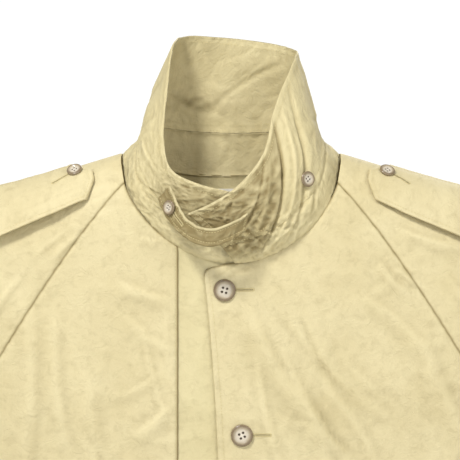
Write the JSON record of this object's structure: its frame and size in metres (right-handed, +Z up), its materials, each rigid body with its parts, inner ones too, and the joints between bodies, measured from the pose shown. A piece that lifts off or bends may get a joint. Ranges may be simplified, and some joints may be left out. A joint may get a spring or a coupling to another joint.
{
  "type": "raglan overcoat",
  "caption": "Hanging raglan overcoat with a stand-up collar, buttoned throat tab, shoulder straps, cuff tabs, slanted pockets and a single row of front buttons.",
  "frame": {"origin": "middle of the hanger loop at the back neck", "axes": "+Z up, front of the coat towards -Y, +X towards the wearer's left"},
  "size_m": [1.2432, 0.1494, 1.125],
  "materials": {
    "shell_cloth": "crinkled, slightly lustrous plain weave",
    "collar_cloth": "crinkled, slightly lustrous plain weave, two layers",
    "inner_cloth": "plain weave, matte",
    "label_cloth": "blank woven label",
    "pearl_button": "smoky mother-of-pearl, polished"
  },
  "bodies": {
    "coat": {"back_neck_facing": "inner_cloth", "button_stand": "inner_cloth", "collar_fall": "collar_cloth", "collar_stand": "collar_cloth", "front_button_1": "pearl_button", "front_button_2": "pearl_button", "front_button_3": "pearl_button", "front_button_4": "pearl_button", "front_button_5": "pearl_button", "hanger_loop": "inner_cloth", "label": "label_cloth", "left_back": "shell_cloth", "left_facing": "inner_cloth", "left_front": "shell_cloth", "left_sleeve_back": "shell_cloth", "left_sleeve_front": "shell_cloth", "left_strap_button": "pearl_button", "right_back": "shell_cloth", "right_front": "shell_cloth", "right_pocket_bag": "inner_cloth", "right_pocket_welt": "shell_cloth", "right_sleeve_back": "shell_cloth", "right_sleeve_front": "shell_cloth", "right_strap_button": "pearl_button", "spare_tab_button": "pearl_button", "throat_button": "pearl_button"},
    "left_skirt": {"left_front_skirt": "shell_cloth", "left_facing_skirt": "inner_cloth", "left_pocket_welt": "shell_cloth", "left_pocket_bag": "inner_cloth"},
    "left_forearm": {"left_sleeve_front_lower": "shell_cloth", "left_sleeve_back_lower": "shell_cloth", "left_cuff_button": "pearl_button"},
    "left_cuff_flap": {"left_cuff_tab": "shell_cloth"},
    "left_strap": {"left_shoulder_strap": "shell_cloth"},
    "right_forearm": {"right_sleeve_front_lower": "shell_cloth", "right_sleeve_back_lower": "shell_cloth", "right_cuff_button": "pearl_button"},
    "right_cuff_flap": {"right_cuff_tab": "shell_cloth"},
    "right_strap": {"right_shoulder_strap": "shell_cloth"},
    "tab": {"throat_tab": "collar_cloth"}
  },
  "joints": [
    {"name": "left_front_open", "type": "hinge", "parent": "coat", "child": "left_skirt", "pos_m": [0.30667, -0.036, -0.527], "axis": [-0.0507, 0, 0.9987], "range_deg": [0, 100]},
    {"name": "left_elbow_fold", "type": "hinge", "parent": "coat", "child": "left_forearm", "pos_m": [0.4363, -0.0828, -0.3735], "axis": [-0.9063, 0, -0.4226], "range_deg": [0, 140]},
    {"name": "right_elbow_fold", "type": "hinge", "parent": "coat", "child": "right_forearm", "pos_m": [-0.4363, -0.0828, -0.3735], "axis": [-0.9063, 0, 0.4226], "range_deg": [0, 140]},
    {"name": "left_cuff_tab_lift", "type": "hinge", "parent": "left_forearm", "child": "left_cuff_flap", "pos_m": [0.4692, -0.077, -0.5906], "axis": [0.4035, 0, -0.915], "range_deg": [0, 150]},
    {"name": "right_cuff_tab_lift", "type": "hinge", "parent": "right_forearm", "child": "right_cuff_flap", "pos_m": [-0.4692, -0.077, -0.5906], "axis": [0.4035, 0, 0.915], "range_deg": [0, 150]},
    {"name": "left_strap_lift", "type": "hinge", "parent": "coat", "child": "left_strap", "pos_m": [0.294, -0.0705, -0.063], "axis": [0.0299, 0.6281, 0.7776], "range_deg": [0, 140]},
    {"name": "right_strap_lift", "type": "hinge", "parent": "coat", "child": "right_strap", "pos_m": [-0.294, -0.0705, -0.063], "axis": [0.0299, -0.6281, -0.7776], "range_deg": [0, 140]},
    {"name": "throat_tab_swing", "type": "hinge", "parent": "coat", "child": "tab", "pos_m": [0.015, -0.1205, -0.056], "axis": [0.0995, 0, 0.995], "range_deg": [0, 160]}
  ]
}
